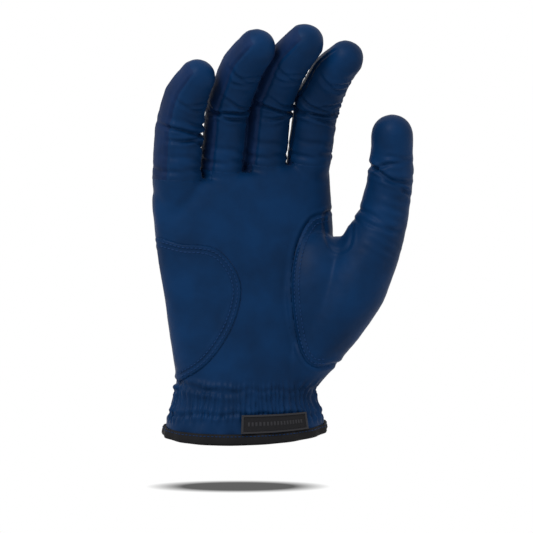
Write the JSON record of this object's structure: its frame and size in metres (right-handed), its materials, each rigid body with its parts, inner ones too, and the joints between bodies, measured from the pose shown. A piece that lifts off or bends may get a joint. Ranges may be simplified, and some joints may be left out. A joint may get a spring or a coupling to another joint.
{
  "type": "golf glove",
  "caption": "Leather golf glove for the right hand, in its worn shape, with bending digits and a hook-and-loop wrist tab.",
  "frame": {"origin": "middle of the wrist opening, level with the cuff's edge", "axes": "+Z from the wrist to the fingertips, -Y out of the palm, +X towards the thumb"},
  "size_m": [0.1408, 0.0779, 0.225],
  "materials": {
    "leather": "matt satin sheepskin",
    "fourchette": "matt",
    "black_tape": "woven",
    "hook_loop": "hook and loop pile",
    "elastic": "ribbed elastic"
  },
  "bodies": {
    "palm": {"palm_panel": "leather", "back_panel": "leather", "thumb_palm_panel": "leather", "thumb_back_panel": "leather", "thumb_quirk": "leather", "heel_patch": "leather", "slit_facing": "black_tape", "cuff_binding": "black_tape", "woven_label": "black_tape", "wrist_elastic": "elastic", "tab_anchor": "leather", "loop_pad": "hook_loop"},
    "index_lower": {"index_knuckle_fold": "leather", "index_lower_back": "leather", "index_lower_little_side": "fourchette", "index_lower_front": "leather"},
    "index_upper": {"index_middle_fold": "leather", "index_upper_back": "leather", "index_upper_little_side": "fourchette", "index_upper_front": "leather"},
    "middle_lower": {"middle_knuckle_fold": "leather", "middle_lower_thumb_side": "fourchette", "middle_lower_back": "leather", "middle_lower_little_side": "fourchette", "middle_lower_front": "leather"},
    "middle_upper": {"middle_middle_fold": "leather", "middle_upper_thumb_side": "fourchette", "middle_upper_back": "leather", "middle_upper_little_side": "fourchette", "middle_upper_front": "leather"},
    "ring_lower": {"ring_knuckle_fold": "leather", "ring_lower_thumb_side": "fourchette", "ring_lower_back": "leather", "ring_lower_little_side": "fourchette", "ring_lower_front": "leather"},
    "ring_upper": {"ring_middle_fold": "leather", "ring_upper_thumb_side": "fourchette", "ring_upper_back": "leather", "ring_upper_little_side": "fourchette", "ring_upper_front": "leather"},
    "little_lower": {"little_knuckle_fold": "leather", "little_lower_thumb_side": "fourchette", "little_lower_back": "leather", "little_lower_front": "leather"},
    "little_upper": {"little_middle_fold": "leather", "little_upper_thumb_side": "fourchette", "little_upper_back": "leather", "little_upper_front": "leather"},
    "thumb_lower": {"thumb_knuckle_fold": "leather", "thumb_lower_back": "leather", "thumb_lower_front": "leather"},
    "thumb_upper": {"thumb_middle_fold": "leather", "thumb_upper_back": "leather", "thumb_upper_front": "leather"},
    "closure_tab": {"closure_tab": "leather", "hook_patch": "hook_loop"}
  },
  "joints": [
    {"name": "index_knuckle", "type": "hinge", "parent": "palm", "child": "index_lower", "pos_m": [0.03558, 0.0058, 0.16057], "axis": [0.891, 0.454, 0], "range_deg": [-15, 28], "deforming": ["index_knuckle_fold"]},
    {"name": "index_middle", "type": "hinge", "parent": "index_lower", "child": "index_upper", "pos_m": [0.0388, -0.00053, 0.1824], "axis": [0.891, 0.454, 0], "range_deg": [-30, 25], "deforming": ["index_middle_fold"]},
    {"name": "middle_knuckle", "type": "hinge", "parent": "palm", "child": "middle_lower", "pos_m": [0.01086, 0.00182, 0.15972], "axis": [0.8829, 0.4695, 0], "range_deg": [-15, 45], "deforming": ["middle_knuckle_fold"]},
    {"name": "middle_middle", "type": "hinge", "parent": "middle_lower", "child": "middle_upper", "pos_m": [0.0138, -0.00371, 0.18336], "axis": [0.8829, 0.4695, 0], "range_deg": [-30, 45], "deforming": ["middle_middle_fold"]},
    {"name": "ring_knuckle", "type": "hinge", "parent": "palm", "child": "ring_lower", "pos_m": [-0.01213, -0.00502, 0.15626], "axis": [0.8829, 0.4695, 0], "range_deg": [-15, 45], "deforming": ["ring_knuckle_fold"]},
    {"name": "ring_middle", "type": "hinge", "parent": "ring_lower", "child": "ring_upper", "pos_m": [-0.00932, -0.0103, 0.18101], "axis": [0.8829, 0.4695, 0], "range_deg": [-30, 45], "deforming": ["ring_middle_fold"]},
    {"name": "little_knuckle", "type": "hinge", "parent": "palm", "child": "little_lower", "pos_m": [-0.03695, -0.01285, 0.15046], "axis": [0.8829, 0.4695, 0], "range_deg": [-15, 45], "deforming": ["little_knuckle_fold"]},
    {"name": "little_middle", "type": "hinge", "parent": "little_lower", "child": "little_upper", "pos_m": [-0.03591, -0.01479, 0.16931], "axis": [0.8829, 0.4695, 0], "range_deg": [-25, 45], "deforming": ["little_middle_fold"]},
    {"name": "thumb_base", "type": "hinge", "parent": "palm", "child": "thumb_lower", "pos_m": [0.07363, -0.0051, 0.11916], "axis": [0.6373, -0.7243, -0.2632], "range_deg": [-15, 5], "deforming": ["thumb_knuckle_fold"]},
    {"name": "thumb_tip", "type": "hinge", "parent": "thumb_lower", "child": "thumb_upper", "pos_m": [0.07875, -0.00815, 0.14608], "axis": [0.65, -0.7386, -0.1789], "range_deg": [-12, 12], "deforming": ["thumb_middle_fold"]},
    {"name": "closure_tab_peel", "type": "hinge", "parent": "palm", "child": "closure_tab", "pos_m": [0.02239, 0.02882, 0.03916], "axis": [-0.1035, 0.0728, -0.992], "range_deg": [0, 90]}
  ]
}
